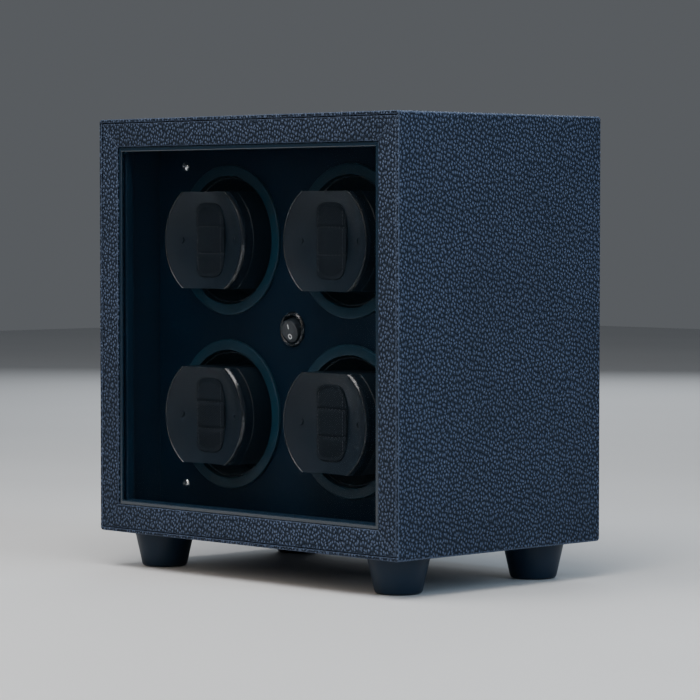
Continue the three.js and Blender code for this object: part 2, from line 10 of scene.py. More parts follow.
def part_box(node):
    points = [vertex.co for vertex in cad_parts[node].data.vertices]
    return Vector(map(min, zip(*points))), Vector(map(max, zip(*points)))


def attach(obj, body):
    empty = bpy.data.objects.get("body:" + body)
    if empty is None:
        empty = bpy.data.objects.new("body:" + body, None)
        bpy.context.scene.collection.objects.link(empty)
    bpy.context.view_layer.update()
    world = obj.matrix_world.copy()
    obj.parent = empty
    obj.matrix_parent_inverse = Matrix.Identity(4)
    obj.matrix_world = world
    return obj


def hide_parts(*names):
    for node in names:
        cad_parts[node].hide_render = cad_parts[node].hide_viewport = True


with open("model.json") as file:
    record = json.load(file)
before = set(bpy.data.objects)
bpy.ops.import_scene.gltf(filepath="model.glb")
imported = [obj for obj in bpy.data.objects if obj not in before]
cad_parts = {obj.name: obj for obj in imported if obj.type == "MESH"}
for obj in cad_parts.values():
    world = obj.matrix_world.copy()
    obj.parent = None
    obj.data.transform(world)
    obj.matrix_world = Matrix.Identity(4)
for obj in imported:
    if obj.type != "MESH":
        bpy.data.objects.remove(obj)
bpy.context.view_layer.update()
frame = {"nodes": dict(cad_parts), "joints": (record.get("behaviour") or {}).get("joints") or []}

MM = 0.001
PLACES = ("upper_left", "upper_right", "lower_left", "lower_right")
FEET = ("front_left", "front_right", "rear_left", "rear_right")
scene = bpy.context.scene
nodes = frame["nodes"]


def corners_of(*names):
    """Lowest and highest corner of some CAD nodes together, in millimetres."""
    lows, highs = zip(*(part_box(name) for name in names))
    low = Vector([min(v[i] for v in lows) for i in range(3)]) / MM
    high = Vector([max(v[i] for v in highs) for i in range(3)]) / MM
    return low, high


def centre_of(*names):
    """Middle of some CAD nodes together, in millimetres."""
    low, high = corners_of(*names)
    return (low + high) / 2


CASE_LOW, CASE_HIGH = corners_of("case_top", "case_bottom", "case_left", "case_right")
FRONT = CASE_LOW.y
HALF_W = (CASE_HIGH.x - CASE_LOW.x) / 2
HALF_H = (CASE_HIGH.z - CASE_LOW.z) / 2
DEPTH = CASE_HIGH.y - CASE_LOW.y
MIDDLE_Z = (CASE_HIGH.z + CASE_LOW.z) / 2
PANEL_Y = corners_of("front_panel")[0].y - FRONT
BACK_CLEARANCE = 0.3
WALL = HALF_W - corners_of("case_back")[1].x - BACK_CLEARANCE
BOX_AT = (0, FRONT, MIDDLE_Z)      # pieces drawn round the middle of the box's front

# ---------------------------------------------------------------- materials


class Look:
    """A material on one Principled shader, with a short way to add and feed nodes."""

    def __init__(self, name, **constants):
        self.material = bpy.data.materials.new(name)
        self.material.use_nodes = True
        self.tree = self.material.node_tree
        self.shader = self.tree.nodes["Principled BSDF"]
        for socket, value in constants.items():
            self.shader.inputs[socket.replace("_", " ")].default_value = value
        self.coordinates = self.tree.nodes.new("ShaderNodeTexCoord")
        self.place = self.coordinates.outputs["Object"]

    def node(self, kind, inputs=None, output=0, **settings):
        made = self.tree.nodes.new(kind)
        for key, value in settings.items():
            setattr(made, key, value)
        for key, value in (inputs or {}).items():
            self.feed(made.inputs[key], value)
        return made.outputs[output]

    def feed(self, socket, value):
        if isinstance(value, bpy.types.NodeSocket):
            self.tree.links.new(value, socket)
        else:
            socket.default_value = value

    def noise(self, scale, detail=2.0, roughness=0.5, vector=None, output="Fac"):
        """Noise over the object's own space, its size given in spots per metre."""
        return self.node("ShaderNodeTexNoise", {
            "Vector": vector or self.place, "Scale": scale, "Detail": detail,
            "Roughness": roughness}, output)

    def spread(self, value, low, high, to_low, to_high, smooth=False):
        """The value's range from low to high, mapped to another range."""
        kind = "SMOOTHSTEP" if smooth else "LINEAR"
        return self.node("ShaderNodeMapRange", {
            "Value": value, "From Min": low, "From Max": high,
            "To Min": to_low, "To Max": to_high}, 0, interpolation_type=kind)

    def math(self, operation, a, b):
        return self.node("ShaderNodeMath", {0: a, 1: b}, operation=operation)

    def mix(self, share, a, b):
        return self.node("ShaderNodeMix", {"Factor": share, 2: a, 3: b}, 0)

    def blend(self, share, dark, light):
        return self.node("ShaderNodeMix", {
            "Factor": share, 6: (*dark, 1), 7: (*light, 1)}, 2, data_type="RGBA")

    def finish(self, color, roughness, height=None, depth=0.0):
        """Feeds the shader and returns the material. Depth is the bump's, in metres."""
        self.feed(self.shader.inputs["Base Color"], color)
        self.feed(self.shader.inputs["Roughness"], roughness)
        if height is not None:
            bump = self.node("ShaderNodeBump", {
                "Height": height, "Distance": depth, "Strength": 1.0})
            self.feed(self.shader.inputs["Normal"], bump)
        return self.material


FACING = 0.7                   # share of the normal that makes a face look one way
PEBBLES = 435.0                # per metre
PEBBLE_SLANT = (0.0, 0.0, 0.3)
PEBBLE_STRETCH = (1.12, 0.9, 1.0)
PEBBLE_WARP = 200.0
PEBBLE_DRIFT = 0.0016
PEBBLE_RANDOMNESS = 0.8
BODY_SHARE = 0.22
CROWN_SHARE = 0.78
PORE_SHARE = 0.08
PEBBLE_DEPTH = 0.0008
# The pebble colours hold painted light: painted shade in the creases and a painted highlight on
# the pebble tops.
LEATHER_CREASE_SHADE = (0.0005, 0.0020, 0.0058)
LEATHER_TOP_HIGHLIGHT = (0.080, 0.110, 0.190)
# Painted highlight colour for the leather's rounded edges.
LEATHER_EDGE_HIGHLIGHT = (0.075, 0.100, 0.160)
LEATHER_GLINT = (0.6, 0.78, 1.0, 1.0)
BRUSHED_STRETCH = (1.0, 60.0, 60.0)


def facing(look):
    """How far the surface faces along each axis, without its sign."""
    normal = look.node("ShaderNodeVectorMath", {0: look.coordinates.outputs["Normal"]},
                       operation="ABSOLUTE")
    return look.node("ShaderNodeSeparateXYZ", {0: normal}).node.outputs


def flat_place(look):
    """The surface's own two coordinates, chosen by the way the surface faces."""
    parts = facing(look)
    here = look.node("ShaderNodeSeparateXYZ", {0: look.place}).node.outputs
    sideways = look.math("GREATER_THAN", parts["X"], FACING)
    upward = look.math("GREATER_THAN", parts["Z"], FACING)
    across = look.mix(sideways, here["X"], here["Y"])
    along = look.mix(upward, here["Z"], here["Y"])
    return look.node("ShaderNodeCombineXYZ", {0: across, 1: along, 2: 0.0})


def leather():
    """Pebbled leather: small domed pebbles parted by soft creases, no two alike."""
    look = Look("pebbled_leather", Specular_IOR_Level=0.3, Specular_Tint=LEATHER_GLINT)
    place = flat_place(look)
    warp = look.noise(PEBBLE_WARP, 1.0, vector=place, output="Color")
    centred = look.node("ShaderNodeVectorMath", {0: warp, 1: (0.5, 0.5, 0.5)},
                        operation="SUBTRACT")
    shifted = look.node("ShaderNodeVectorMath", {0: centred, "Scale": PEBBLE_DRIFT},
                        operation="SCALE")
    warped = look.node("ShaderNodeVectorMath", {0: place, 1: shifted}, operation="ADD")
    drawn = look.node("ShaderNodeMapping", {"Vector": warped, "Rotation": PEBBLE_SLANT,
                                            "Scale": PEBBLE_STRETCH})
    cells = {"Vector": drawn, "Scale": PEBBLES, "Randomness": PEBBLE_RANDOMNESS}
    edge = look.node("ShaderNodeTexVoronoi", cells, "Distance",
                     feature="DISTANCE_TO_EDGE", voronoi_dimensions="2D")
    middle = look.node("ShaderNodeTexVoronoi", cells, "Distance", feature="F1",
                       voronoi_dimensions="2D")
    body = look.spread(edge, 0.02, 0.24, 0.0, 1.0, smooth=True)
    crown = look.spread(middle, 0.06, 0.45, 1.0, 0.0, smooth=True)
    pebble = look.math("ADD", look.math("MULTIPLY", body, BODY_SHARE),
                       look.math("MULTIPLY", crown, CROWN_SHARE))
    pores = look.noise(2600.0, 2.0)
    height = look.math("ADD", pebble, look.math("MULTIPLY", pores, PORE_SHARE))
    patches = look.spread(look.noise(22.0, 3.0), 0.3, 0.7, 0.85, 1.1)
    # Painted shade and highlight: by pebble height the colour runs from the dark crease shade to
    # the lit pebble top, with random patches of tone over it.
    grain = look.blend(look.math("MULTIPLY", pebble, patches), LEATHER_CREASE_SHADE, LEATHER_TOP_HIGHLIGHT)
    # Painted highlight: where the normal lies between two axes, on the rounded edges, the colour
    # turns lighter to stand in for the light those edges catch.
    parts = facing(look)
    widest = look.math("MAXIMUM", look.math("MAXIMUM", parts["X"], parts["Y"]), parts["Z"])
    edge_highlight_share = look.spread(widest, 0.78, 0.96, 0.85, 0.0, smooth=True)
    color = look.node("ShaderNodeMix", {"Factor": edge_highlight_share, 6: grain, 7: (*LEATHER_EDGE_HIGHLIGHT, 1)}, 2,
                      data_type="RGBA")
    roughness = look.spread(pebble, 0.0, 1.0, 0.7, 0.4)
    return look.finish(color, roughness, height, PEBBLE_DEPTH)


def moulded(name, dark, light, roughness, grain=900.0, depth=0.00004, spread=0.06,
            patch=35.0, **constants):
    """Moulded or painted surface: slight colour drift, fine grain and uneven gloss."""
    look = Look(name, **constants)
    drift = look.noise(patch, 3.0)
    color = look.blend(look.spread(drift, 0.3, 0.7, 0.0, 1.0), dark, light)
    grainy = look.noise(grain, 3.0, 0.6)
    gloss = look.spread(look.noise(patch * 2.5, 4.0), 0.3, 0.7, roughness - spread,
                        roughness + spread)
    return look.finish(color, gloss, grainy, depth)


def brushed(name, dark, light, roughness):
    """Metal with fine lines drawn along one axis."""
    look = Look(name, Metallic=1.0)
    drawn = look.node("ShaderNodeMapping", {"Vector": look.place, "Scale": BRUSHED_STRETCH})
    lines = look.noise(120.0, 3.0, 0.6, drawn)
    color = look.blend(look.spread(lines, 0.3, 0.7, 0.0, 1.0), dark, light)
    gloss = look.spread(lines, 0.25, 0.75, roughness - 0.06, roughness + 0.08)
    return look.finish(color, gloss, lines, 0.00002)


def woven():
    """Short-piled dark fabric with a faint twill."""
    look = Look("pad_fabric", Specular_IOR_Level=0.15)
    wave = look.node("ShaderNodeTexWave", {
        "Vector": look.place, "Scale": 420.0, "Distortion": 1.4, "Detail": 2.0,
        "Detail Scale": 3.0}, "Fac", bands_direction="DIAGONAL")
    pile = look.noise(2400.0, 3.0, 0.7)
    height = look.math("ADD", wave, pile)
    color = look.blend(look.spread(height, 0.5, 1.5, 0.0, 1.0),
                       (0.002, 0.004, 0.007), (0.008, 0.013, 0.020))
    return look.finish(color, look.spread(pile, 0.3, 0.7, 0.8, 0.95), height, 0.00012)


def board():
    """Printed board: green mask over copper lines."""
    look = Look("circuit_board", Specular_IOR_Level=0.5)
    tracks = look.node("ShaderNodeTexBrick", {
        "Vector": look.node("ShaderNodeMapping", {
            "Vector": look.place, "Rotation": (math.pi / 2, 0, 0)}),
        "Color1": (0.01, 0.09, 0.03, 1), "Color2": (0.015, 0.12, 0.045, 1),
        "Mortar": (0.03, 0.2, 0.07, 1), "Scale": 260.0, "Mortar Size": 0.03}, "Color")
    speckle = look.noise(900.0, 2.0)
    return look.finish(tracks, look.spread(speckle, 0.3, 0.7, 0.35, 0.5), speckle, 0.00003)


LEATHER = leather()
SATIN = moulded("satin_navy", (0.0010, 0.0072, 0.018), (0.0012, 0.0084, 0.021), 0.42,
                grain=1500.0, depth=0.000001, spread=0.04, Specular_IOR_Level=0.08)
LINING = moulded("lining_navy", (0.002, 0.012, 0.028), (0.003, 0.015, 0.034), 0.5,
                 grain=1200.0, depth=0.000004, Specular_IOR_Level=0.15)
RING = moulded("ring_navy", (0.005, 0.023, 0.040), (0.006, 0.027, 0.047), 0.3,
               grain=1400.0, depth=0.000002, spread=0.03, Specular_IOR_Level=0.18)
CUP = moulded("cup_black", (0.0008, 0.003, 0.006), (0.001, 0.004, 0.008), 0.32,
              Specular_IOR_Level=0.3)
CHEEK = moulded("holder_grey", (0.006, 0.011, 0.018), (0.008, 0.014, 0.022), 0.4,
                grain=1800.0, depth=0.000004, Specular_IOR_Level=0.22)
RIM = moulded("rim_gloss", (0.003, 0.006, 0.010), (0.004, 0.007, 0.012), 0.2,
              grain=1800.0, depth=0.000002, spread=0.03, Specular_IOR_Level=0.8)
# Near-black drum, darker than the cheeks of the same holder: the extra darkness is painted shade
# for the drum's side, which faces away from the light inside the well.
DRUM = moulded("drum_dark_shade", (0.001, 0.004, 0.008), (0.0015, 0.005, 0.010), 0.4,
               grain=1800.0, depth=0.00002, Specular_IOR_Level=0.2)
PLASTIC = moulded("black_plastic", (0.004, 0.006, 0.009), (0.006, 0.009, 0.013), 0.26,
                  grain=1600.0, depth=0.00002)
BUTTON = moulded("button_grey", (0.014, 0.019, 0.026), (0.018, 0.024, 0.032), 0.36,
                 grain=1600.0)
TRIM = moulded("trim_navy", (0.003, 0.013, 0.027), (0.004, 0.016, 0.032), 0.18,
               spread=0.03, depth=0.000004, Specular_IOR_Level=0.8)
RUBBER = moulded("foot_rubber", (0.004, 0.013, 0.028), (0.005, 0.016, 0.034), 0.42,
                 grain=1100.0, depth=0.00003, Specular_IOR_Level=0.22)
NYLON = moulded("gear_nylon", (0.6, 0.58, 0.52), (0.68, 0.66, 0.6), 0.45)
MARK = moulded("mark_white", (0.72, 0.75, 0.78), (0.82, 0.84, 0.86), 0.5)
THREAD = moulded("thread_grey", (0.02, 0.025, 0.032), (0.03, 0.036, 0.045), 0.7,
                 grain=3000.0)
CHROME = brushed("chrome", (0.62, 0.64, 0.68), (0.82, 0.84, 0.87), 0.14)
STEEL = brushed("steel", (0.36, 0.37, 0.39), (0.5, 0.51, 0.53), 0.36)
DARK_STEEL = brushed("dark_steel", (0.05, 0.052, 0.056), (0.09, 0.093, 0.1), 0.34)
FABRIC = woven()
BOARD = board()

pane = Look("clear_pane", Alpha=0.05, IOR=1.45, Specular_IOR_Level=0.1)
PANE = pane.finish(pane.blend(pane.noise(6.0), (0.01, 0.02, 0.03), (0.012, 0.024, 0.036)),
                   pane.spread(pane.noise(14.0), 0.3, 0.7, 0.03, 0.06))

# ---------------------------------------------------------------- mesh helpers

ARC_STEPS = 4
ON_AXIS = 1e-6
QUARTERS = ((1, 1), (-1, 1), (-1, -1), (1, -1))


def rounded(points, closed=True, steps=ARC_STEPS):
    """A 2-D outline from (a, b, radius) points, with each corner rounded. An open
    outline keeps its two ends."""
    result = []
    for i, (a, b, radius) in enumerate(points):
        here = Vector((a, b))
        if radius <= 0 or (not closed and i in (0, len(points) - 1)):
            result.append((a, b))
            continue
        to_last = Vector(points[i - 1][:2]) - here
        to_next = Vector(points[(i + 1) % len(points)][:2]) - here
        reach = radius / math.tan(to_last.angle(to_next) / 2)
        reach = min(reach, 0.49 * to_last.length, 0.49 * to_next.length)
        start = here + to_last.normalized() * reach
        end = here + to_next.normalized() * reach
        for k in range(steps + 1):
            t = k / steps
            point = (1 - t) ** 2 * start + 2 * t * (1 - t) * here + t ** 2 * end
            result.append(tuple(point))
    return result


def mesh_of(name, points, faces):
    """A mesh in metres from millimetre points, with its faces turned outwards."""
    mesh = bpy.data.meshes.new(name)
    mesh.from_pydata([tuple(c * MM for c in p) for p in points], [], faces)
    work = bmesh.new()
    work.from_mesh(mesh)
    bmesh.ops.remove_doubles(work, verts=work.verts, dist=1e-8)
    bmesh.ops.recalc_face_normals(work, faces=work.faces)
    work.to_mesh(mesh)
    work.free()
    return mesh


def joined_loops(loops, closed_across, capped=False):
    """Points and quads between loops of equal length, in order."""
    points = [p for loop in loops for p in loop]
    count = len(loops[0])
    faces = []
    pairs = len(loops) if closed_across else len(loops) - 1
    for i in range(pairs):
        a, b = i * count, ((i + 1) % len(loops)) * count
        for k in range(count):
            m = (k + 1) % count
            faces.append((a + k, a + m, b + m, b + k))
    if capped:
        faces.append(tuple(range(count))[::-1])
        last = (len(loops) - 1) * count
        faces.append(tuple(range(last, last + count)))
    return points, faces


def lathe(name, profile, sides=96):
    """A piece turned about the y axis from (radius, y) points. It is closed where the
    profile meets the axis, or else from its last point back to its first."""
    points, faces, rings = [], [], []
    for r, y in profile:
        if r < ON_AXIS:
            rings.append([len(points)])
            points.append((0.0, y, 0.0))
            continue
        rings.append(list(range(len(points), len(points) + sides)))
        for k in range(sides):
            angle = 2 * math.pi * k / sides
            points.append((r * math.sin(angle), y, r * math.cos(angle)))
    on_axis = len(rings[0]) == 1
    pairs = list(zip(rings, rings[1:]))
    if not on_axis:
        pairs.append((rings[-1], rings[0]))
    for a, b in pairs:
        for k in range(sides):
            m = (k + 1) % sides
            if len(a) == 1 and len(b) == 1:
                break
            if len(a) == 1:
                faces.append((a[0], b[m], b[k]))
            elif len(b) == 1:
                faces.append((a[k], a[m], b[0]))
            else:
                faces.append((a[k], a[m], b[m], b[k]))
    return mesh_of(name, points, faces)


def band(name, profile, half_w, half_h, corner, inner_corner=0.3, steps=6):
    """A closed band round an upright rectangle. Profile points are (inset, y)."""
    loops = []
    for inset, y in profile:
        r = max(corner - inset, inner_corner)
        loop = []
        for quarter, (sx, sz) in enumerate(QUARTERS):
            cx = sx * (half_w - inset - r)
            cz = sz * (half_h - inset - r)
            for k in range(steps + 1):
                angle = math.pi / 2 * (quarter + k / steps)
                loop.append((cx + r * math.cos(angle), y, cz + r * math.sin(angle)))
        loops.append(loop)
    return mesh_of(name, *joined_loops(loops, closed_across=True))


def slab(name, outline, front, back, edge=0.4, steps=3):
    """A plate in the xz plane with rounded front and back edges. The outline's
    points run round it, and are drawn in towards its middle to round the edge."""
    loops = []
    sections = [(1 - math.cos(math.pi / 2 * k / steps), 1 - math.sin(math.pi / 2 * k / steps))
                for k in range(steps + 1)]
    front_side = [(edge * b, front + edge * a) for a, b in sections]
    back_side = [(edge * b, back - edge * a) for a, b in reversed(sections)]
    for inset, y in front_side + back_side:
        loop = []
        for i, (x, z) in enumerate(outline):
            x0, z0 = outline[i - 1]
            x1, z1 = outline[(i + 1) % len(outline)]
            normal = Vector((z1 - z0, x0 - x1)).normalized()
            loop.append((x - normal.x * inset, y, z - normal.y * inset))
        loops.append(loop)
    return mesh_of(name, *joined_loops(loops, closed_across=False, capped=True))


def smooth_profile(points):
    """A rounded outline for a lathe piece that starts and ends on the axis."""
    return rounded(points, closed=False)


def round_rectangle(half_w, half_h, r, steps=5):
    """Outline of a rectangle with rounded corners, for a slab."""
    points = []
    for quarter, (sx, sz) in enumerate(QUARTERS):
        for k in range(steps + 1):
            angle = math.pi / 2 * (quarter + k / steps)
            points.append((sx * (half_w - r) + r * math.cos(angle),
                           sz * (half_h - r) + r * math.sin(angle)))
    return points


def circle(radius, sides=96):
    """Outline of a disc, for a slab."""
    return [(radius * math.cos(2 * math.pi * k / sides),
             radius * math.sin(2 * math.pi * k / sides)) for k in range(sides)]


def carved(mesh, tool, operation="DIFFERENCE"):
    """The mesh with the tool cut from it, or the part they share."""
    pair = [bpy.data.objects.new("carving", m) for m in (mesh, tool)]
    for item in pair:
        scene.collection.objects.link(item)
    step = pair[0].modifiers.new("cut", "BOOLEAN")
    step.operation = operation
    step.solver = "EXACT"
    step.object = pair[1]
    evaluated = pair[0].evaluated_get(bpy.context.evaluated_depsgraph_get())
    result = bpy.data.meshes.new_from_object(evaluated)
    for item in pair:
        bpy.data.objects.remove(item)
    result.name = mesh.name
    return result


def merged(name, meshes):
    """One mesh from several, left as they lie."""
    work = bmesh.new()
    for mesh in meshes:
        work.from_mesh(mesh)
    result = bpy.data.meshes.new(name)
    work.to_mesh(result)
    work.free()
    return result


def moved(mesh, offset, turn=None):
    """A copy of the mesh, turned and then shifted by millimetres."""
    copy = mesh.copy()
    if turn is not None:
        copy.transform(turn)
    copy.transform(Matrix.Translation(Vector(offset) * MM))
    return copy


def piece(name, mesh, body, look, at=(0, 0, 0), turn=None, stands_for=(),
          crease=38.0):
    """Places a mesh at a point in millimetres, to ride on a body. Edges sharper than
    the crease angle stay sharp."""
    if not mesh.materials:
        mesh.materials.append(look)
        mesh.shade_smooth()
        mesh.set_sharp_from_angle(angle=math.radians(crease))
    made = bpy.data.objects.new(name, mesh)
    scene.collection.objects.link(made)
    made.location = Vector(at) * MM
    if turn is not None:
        made.rotation_euler = turn
    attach(made, body)
    if stands_for:
        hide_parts(*stands_for)
    return made


# ---------------------------------------------------------------- case

LIP = 2.2                      # the case's thin edge that stands round the door
REBATE = 13                    # how deep the door sits in it
EDGE_R = 2.0
LATCH_BORE = 3.85

shell = rounded([(0, DEPTH, 1.6), (0, 0, 0.9), (LIP, 0, 0.8), (LIP, REBATE, 0.4),
                 (WALL, REBATE, 0.7), (WALL, DEPTH, 0.7)])
housing_low, housing_high = corners_of("latch_housing")
housing_end = housing_high.y - FRONT + 0.1
latch_hole = lathe("latch_hole", [(0, REBATE - 1), (LATCH_BORE, REBATE - 1),
                                  (LATCH_BORE, housing_end), (0, housing_end)], 48)
wrap = carved(band("case_wrap", shell, HALF_W, HALF_H, EDGE_R), moved(
    latch_hole, ((housing_low.x + housing_high.x) / 2, 0,
                 (housing_low.z + housing_high.z) / 2 - MIDDLE_Z)))
piece("case_wrap", wrap, "case", LEATHER, BOX_AT,
      stands_for=("case_top", "case_bottom", "case_left", "case_right"))

LINING_OUTSIDE = WALL + 0.04
LINING_INSIDE = WALL + 0.4
LINING_START = REBATE + 0.9
LINING_END = PANEL_Y - 0.1
lining = rounded([(LINING_OUTSIDE, LINING_START, 0.1), (LINING_INSIDE, LINING_START, 0.15),
                  (LINING_INSIDE, LINING_END, 0.1), (LINING_OUTSIDE, LINING_END, 0.1)],
                 steps=2)
piece("room_lining", band("room_lining", lining, HALF_W, HALF_H, 0.5), "case",
      LINING, BOX_AT)

back_low, back_high = corners_of("case_back")
inlet = centre_of("power_inlet")
back_half = ((back_high.x - back_low.x) / 2, (back_high.z - back_low.z) / 2)
BACK_T = back_high.y - back_low.y
back_plate = slab("back_board", round_rectangle(*back_half, 1.2), 0, BACK_T, edge=1.1)
INLET_BORE = 5.3
FLANGE_BORE = 7.3
FLANGE_SEAT = 2
for radius, depth in ((FLANGE_BORE, FLANGE_SEAT), (INLET_BORE, BACK_T + 1)):
    bore = slab("bore", circle(radius), BACK_T - depth, BACK_T + 2, edge=0.01)
    back_plate = carved(back_plate, moved(bore, (0, 0, inlet.z - MIDDLE_Z)))
piece("back_board", back_plate, "case", LEATHER,
      (0, back_low.y, MIDDLE_Z), stands_for=("case_back",))

# ---------------------------------------------------------------- screws

SCREW_HEAD_R = 3.2
SCREW_HEAD_H = 2.0
SCREW_RIM = 0.35
SHANK_R = 1.5
SHANK_LEN = 8
DOME_STEPS = 9
DOME_POWER = 2.2
RECESS_ARM = 1.75
RECESS_HALF_W = 0.34
RECESS_Y = -1.05


def screw_head():
    """Domed head with a crossed recess, its seat at y = 0."""
    dome = [(0, -SCREW_HEAD_H)]
    for k in range(1, DOME_STEPS):
        r = SCREW_HEAD_R * k / DOME_STEPS
        dome.append((r, -SCREW_HEAD_H * math.sqrt(1 - (r / SCREW_HEAD_R) ** DOME_POWER)))
    dome += [(SCREW_HEAD_R, -SCREW_RIM), (SCREW_HEAD_R, 0), (SHANK_R, 0),
             (SHANK_R, SHANK_LEN), (0, SHANK_LEN)]
    head = lathe("screw_head", dome, 48)
    for arms in ((RECESS_ARM, RECESS_HALF_W), (RECESS_HALF_W, RECESS_ARM)):
        slot = slab("recess", round_rectangle(*arms, 0.12), -SCREW_HEAD_H - 1, RECESS_Y,
                    edge=0.05)
        head = carved(head, slot)
    return head


chrome_head = screw_head()
for place in PLACES:
    low, high = corners_of(f"panel_screw_{place}")
    at = ((low.x + high.x) / 2, low.y + SCREW_HEAD_H, (low.z + high.z) / 2)
    piece(f"screw_{place}", chrome_head, "case", CHROME, at,
          stands_for=(f"panel_screw_{place}",))

BACK_SCREW_INSET = 9
BACK_SCREW_SEAT = 1.4          # in from the board's outside, so the dome stands proud
back_head = moved(chrome_head, (0, 0, 0), Matrix.Rotation(math.pi, 4, "Z"))
back_head.materials.clear()
back_rows = ((-1, 1), (1, 1), (-1, 0), (1, 0), (-1, -1), (1, -1))
for i, (x, z) in enumerate(back_rows):
    at = (x * (back_half[0] - BACK_SCREW_INSET), back_high.y - BACK_SCREW_SEAT,
          MIDDLE_Z + z * (back_half[1] - BACK_SCREW_INSET))
    piece(f"back_screw_{i + 1}", back_head, "case", STEEL, at)

# ---------------------------------------------------------------- door

DOOR_LOW, DOOR_HIGH = corners_of("door_rail_top", "door_rail_bottom", "door_stile_left",
                                 "door_stile_right")
PADDING = 0.5                  # the leather stands out round the door's members
DOOR_LOW -= Vector((PADDING, 0, PADDING))
DOOR_HIGH += Vector((PADDING, 0, PADDING))
MEMBER_W = 14
STILE = MEMBER_W + PADDING
LEDGE = 3                      # a satin step between the members and the pane
LEDGE_Y = 5
LEDGE_GAP = 0.02
DOOR_T = DOOR_HIGH.y - DOOR_LOW.y
SEAM = 0.05
MITRE_ROUNDING = ((0, 0.6), (0.12, 0.3), (0.35, 0.1), (0.9, 0))    # (along, sunk)
ROUNDED_DEPTH = 2.5            # behind the front, where the mitre's sinking ends


def frame_member(name, length, place):
    """One mitred member: place turns (along, inward, y) into frame millimetres."""
    profile = rounded([(0, 0, 1.1), (STILE, 0, 0.8), (STILE, DOOR_T, 0.3),
                       (0, DOOR_T, 0.8)])
    sections = [(1, *step) for step in MITRE_ROUNDING]
    sections += [(-1, *step) for step in reversed(MITRE_ROUNDING)]
    loops = []
    for end, shift, sink in sections:
        loop = []
        for inward, y in profile:
            along = SEAM + inward + shift
            along = along if end > 0 else length - along
            drop = sink * max(0.0, 1 - y / ROUNDED_DEPTH)
            loop.append(place(along, inward, y + drop))
        loops.append(loop)
    return mesh_of(name, *joined_loops(loops, closed_across=False, capped=True))


door_w = DOOR_HIGH.x - DOOR_LOW.x
door_h = DOOR_HIGH.z - DOOR_LOW.z
members = (
    ("rail_bottom", door_w, lambda s, w, y: (DOOR_LOW.x + s, DOOR_LOW.y + y, DOOR_LOW.z + w)),
    ("rail_top", door_w, lambda s, w, y: (DOOR_HIGH.x - s, DOOR_LOW.y + y, DOOR_HIGH.z - w)),
    ("stile_left", door_h, lambda s, w, y: (DOOR_LOW.x + w, DOOR_LOW.y + y, DOOR_HIGH.z - s)),
    ("stile_right", door_h, lambda s, w, y: (DOOR_HIGH.x - w, DOOR_LOW.y + y, DOOR_LOW.z + s)),
)
for name, length, place in members:
    piece(f"cover_{name}", frame_member(f"cover_{name}", length, place), "door",
          LEATHER, stands_for=(f"door_{name}",))

LEDGE_OUTSIDE = STILE + LEDGE_GAP
LEDGE_BACK = DOOR_T - 0.1
ledge = rounded([(LEDGE_OUTSIDE, LEDGE_Y, 0.1), (STILE + LEDGE, LEDGE_Y, 0.5),
                 (STILE + LEDGE, LEDGE_BACK, 0.8), (LEDGE_OUTSIDE, LEDGE_BACK, 0.1)],
                steps=3)
piece("pane_ledge", band("pane_ledge", ledge, door_w / 2, door_h / 2, 0.3, steps=3), "door",
      LINING,
      ((DOOR_LOW.x + DOOR_HIGH.x) / 2, DOOR_LOW.y, (DOOR_LOW.z + DOOR_HIGH.z) / 2))

trim_low, trim_high = corners_of("pane_trim")
trim_t = trim_high.y - trim_low.y
TRIM_W = 2.7
bead = rounded([(0, 0.25, 0.2), (TRIM_W - 0.5, 0, 0.5), (TRIM_W, 0.5, 0.4),
                (TRIM_W, trim_t, 0.1), (0, trim_t, 0.1)], steps=3)
piece("pane_bead", band("pane_bead", bead, (trim_high.x - trim_low.x) / 2,
                        (trim_high.z - trim_low.z) / 2, 0.3, steps=3),
      "door", TRIM, (0, trim_low.y, MIDDLE_Z), stands_for=("pane_trim",))

# ---------------------------------------------------------------- wells, rotors, holders


ring_low, ring_high = corners_of("well_ring_upper_left")
RING_R = (ring_high.x - ring_low.x) / 2
RING_BORE = 39.4
SLEEVE_R = 41.2
RING_T = PANEL_Y - 0.3 - (ring_low.y - FRONT)
ring_len = ring_high.y - ring_low.y
ring_mesh = lathe("well_ring", rounded([
    (RING_BORE, 0, 0.45), (RING_R, 0, 0.7), (RING_R, RING_T, 0.05), (SLEEVE_R, RING_T, 0.1),
    (SLEEVE_R, ring_len, 0.4), (RING_BORE, ring_len, 0.4)]), 128)

cup_low, cup_high = corners_of("rotor_cup_upper_left")
CUP_R = (cup_high.x - cup_low.x) / 2
CUP_BORE = CUP_R - 1.5
CUP_FLOOR = 26.4
SHAFT_R = 5
cup_len = cup_high.y - cup_low.y
cup_mesh = lathe("rotor_cup", smooth_profile([
    (0, CUP_FLOOR, 0), (CUP_BORE, CUP_FLOOR, 1.2), (CUP_BORE, 0, 0.7), (CUP_R, 0, 0.7),
    (CUP_R, CUP_FLOOR + 2, 1.0), (SHAFT_R, CUP_FLOOR + 2, 0.5), (SHAFT_R, cup_len, 0.6),
    (0, cup_len, 0)]), 96)

HOLDER_R = 36.5
HOLDER_FLAT = 29.5
holder_low, holder_high = corners_of("holder_upper_left")
holder_len = holder_high.y - holder_low.y
DISH_R = 75.0                  # radius of the sphere that the dish is part of
DISH_RIM = 35.0                # radius where the dish's depth is zero
DISH_EDGE = 34.6
DISH_STEPS = 12
RIM_DROP = 1.9
HOLLOW_R = 32
HOLLOW_Y = 16.5
HOLLOW_HALF = 25.5
FACE_BACK = 8.5                # where the face and rim end and the drum starts
SEAM_GAP = 0.02
MARK_AT = 25
MARK_R = 1.7
MARK_W = 0.5
MARK_PROUD = 0.22
BLOCK_HALF_W = 60              # of the blocks that cut the holder's flats
BLOCK_PAST = 5                 # how far they reach past its front and back


